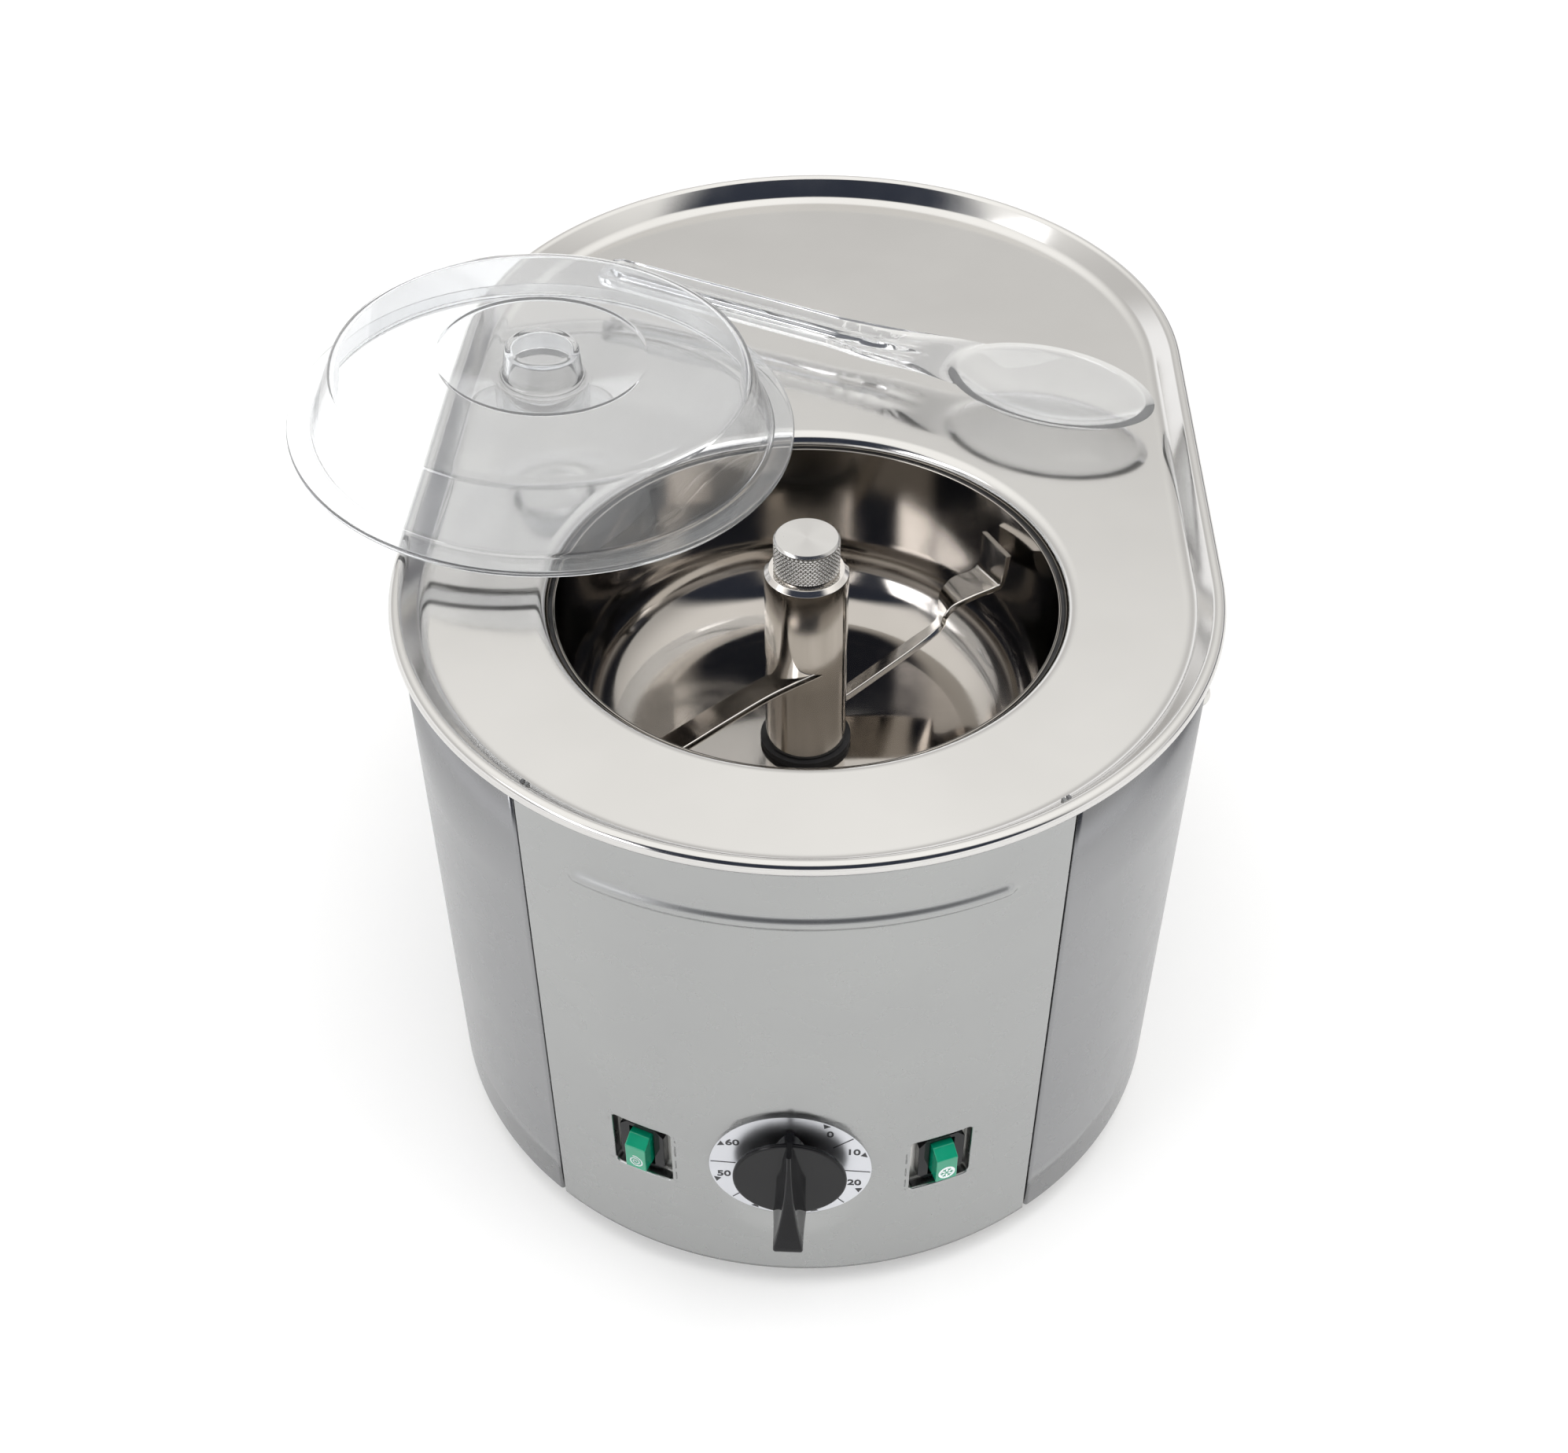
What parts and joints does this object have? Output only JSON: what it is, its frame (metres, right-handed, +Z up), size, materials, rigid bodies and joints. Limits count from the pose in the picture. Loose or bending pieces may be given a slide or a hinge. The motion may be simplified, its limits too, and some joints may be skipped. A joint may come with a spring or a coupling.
{
  "type": "ice cream maker",
  "caption": "Stainless steel compressor ice cream maker with a fixed bowl in a rounded tray top, a lift-out dasher, a timer dial, rocker switches, a clear lid and a clear spoon.",
  "frame": {"origin": "on the table under the middle of the body's outline", "axes": "+Z up, -Y toward the front with the timer dial, +X to the right seen from the front"},
  "size_m": [0.3572, 0.4655, 0.2735],
  "materials": {
    "tray_steel": "mirror polished",
    "bowl_steel": "polished",
    "body_steel": "satin",
    "dasher_steel": "polished",
    "knob_steel": "turned top, knurled side",
    "black_rubber": "matte",
    "foam": "cellular",
    "copper_pipe": "drawn",
    "zinc_steel": "zinc plated",
    "black_plastic": "gloss",
    "green_lens": "translucent",
    "dial_silver": "matte anodised",
    "white_plastic": "matte",
    "cast_grey": "cast",
    "motor_grey": "painted",
    "bronze": "sintered",
    "compressor_black": "painted",
    "fin_aluminium": "mill",
    "dark_plastic": "matte",
    "clear_plastic": "clear"
  },
  "bodies": {
    "housing": {"top_deck": "tray_steel", "bowl": "bowl_steel", "bowl_seal": "black_rubber", "insulation": "foam", "evaporator_coil": "copper_pipe", "front_panel": "body_steel", "side_wrap": "body_steel", "side_screws": "zinc_steel", "base_plate": "zinc_steel", "feet": "black_rubber", "foot_screws": "zinc_steel", "switch_brackets": "zinc_steel", "left_switch_housing": "black_plastic", "right_switch_housing": "black_plastic", "dial_plate": "dial_silver", "timer_body": "white_plastic", "bearing_housing": "cast_grey", "bearings": "bronze", "shaft_seal": "black_rubber", "motor_bracket": "zinc_steel", "gear_motor": "motor_grey", "drive_belt": "black_rubber", "compressor": "compressor_black", "compressor_grommets": "black_rubber", "terminal_cover": "white_plastic", "condenser_fins": "fin_aluminium", "condenser_tubes": "copper_pipe", "fan_shroud": "zinc_steel", "fan_motor": "motor_grey", "drier": "copper_pipe", "discharge_line": "copper_pipe", "capillary_line": "copper_pipe", "suction_line": "copper_pipe", "power_inlet": "black_plastic", "inlet_pins": "bronze"},
    "drive": {"drive_shaft": "dasher_steel", "drive_pin": "zinc_steel", "drive_pulley": "cast_grey"},
    "motor_rotor": {"motor_shaft": "zinc_steel", "motor_pulley": "cast_grey"},
    "dasher": {"dasher_hub": "dasher_steel", "dasher_left_arm": "dasher_steel", "dasher_right_arm": "dasher_steel"},
    "knob": {"dasher_knob": "knob_steel"},
    "timer": {"timer_shaft": "zinc_steel", "timer_knob": "black_plastic"},
    "left_switch": {"left_button": "green_lens"},
    "right_switch": {"right_button": "green_lens"},
    "fan": {"fan_blades": "dark_plastic"},
    "lid": {"lid": "clear_plastic"},
    "spoon": {"spoon": "clear_plastic"}
  },
  "joints": [
    {"name": "dasher_spin", "type": "hinge", "parent": "housing", "child": "drive", "pos_m": [0, -0.075, 0], "axis": [0, 0, 1], "continuous": true},
    {"name": "motor_spin", "type": "hinge", "parent": "housing", "child": "motor_rotor", "pos_m": [0.072, -0.002, 0], "axis": [0, 0, 1], "continuous": true},
    {"name": "dasher_lift", "type": "slide", "parent": "drive", "child": "dasher", "axis": [0, 0, 1], "range_m": [0, 0.16]},
    {"name": "knob_lift", "type": "slide", "parent": "dasher", "child": "knob", "axis": [0, 0, 1], "range_m": [0, 0.06]},
    {"name": "timer_turn", "type": "hinge", "parent": "housing", "child": "timer", "pos_m": [0, -0.2182, 0.0739], "axis": [0, 1, 0], "range_deg": [0, 270]},
    {"name": "left_rocker", "type": "hinge", "parent": "housing", "child": "left_switch", "pos_m": [-0.05356, -0.20436, 0.0712], "axis": [-0.9272, 0.3746, 0], "range_deg": [0, 12]},
    {"name": "right_rocker", "type": "hinge", "parent": "housing", "child": "right_switch", "pos_m": [0.05356, -0.20436, 0.0712], "axis": [-0.9272, -0.3746, 0], "range_deg": [0, 12]},
    {"name": "fan_spin", "type": "hinge", "parent": "housing", "child": "fan", "pos_m": [0.09, 0.086, 0.086], "axis": [1, 0, 0], "continuous": true},
    {"name": "lid_lift", "type": "slide", "parent": "housing", "child": "lid", "axis": [0, 0, 1], "range_m": [0, 0.15]},
    {"name": "spoon_lift", "type": "slide", "parent": "lid", "child": "spoon", "axis": [0, 0, 1], "range_m": [0, 0.12]}
  ],
  "couplings": [
    {"joint": "motor_spin", "follows": "dasher_spin", "ratio": 3.7143}
  ]
}
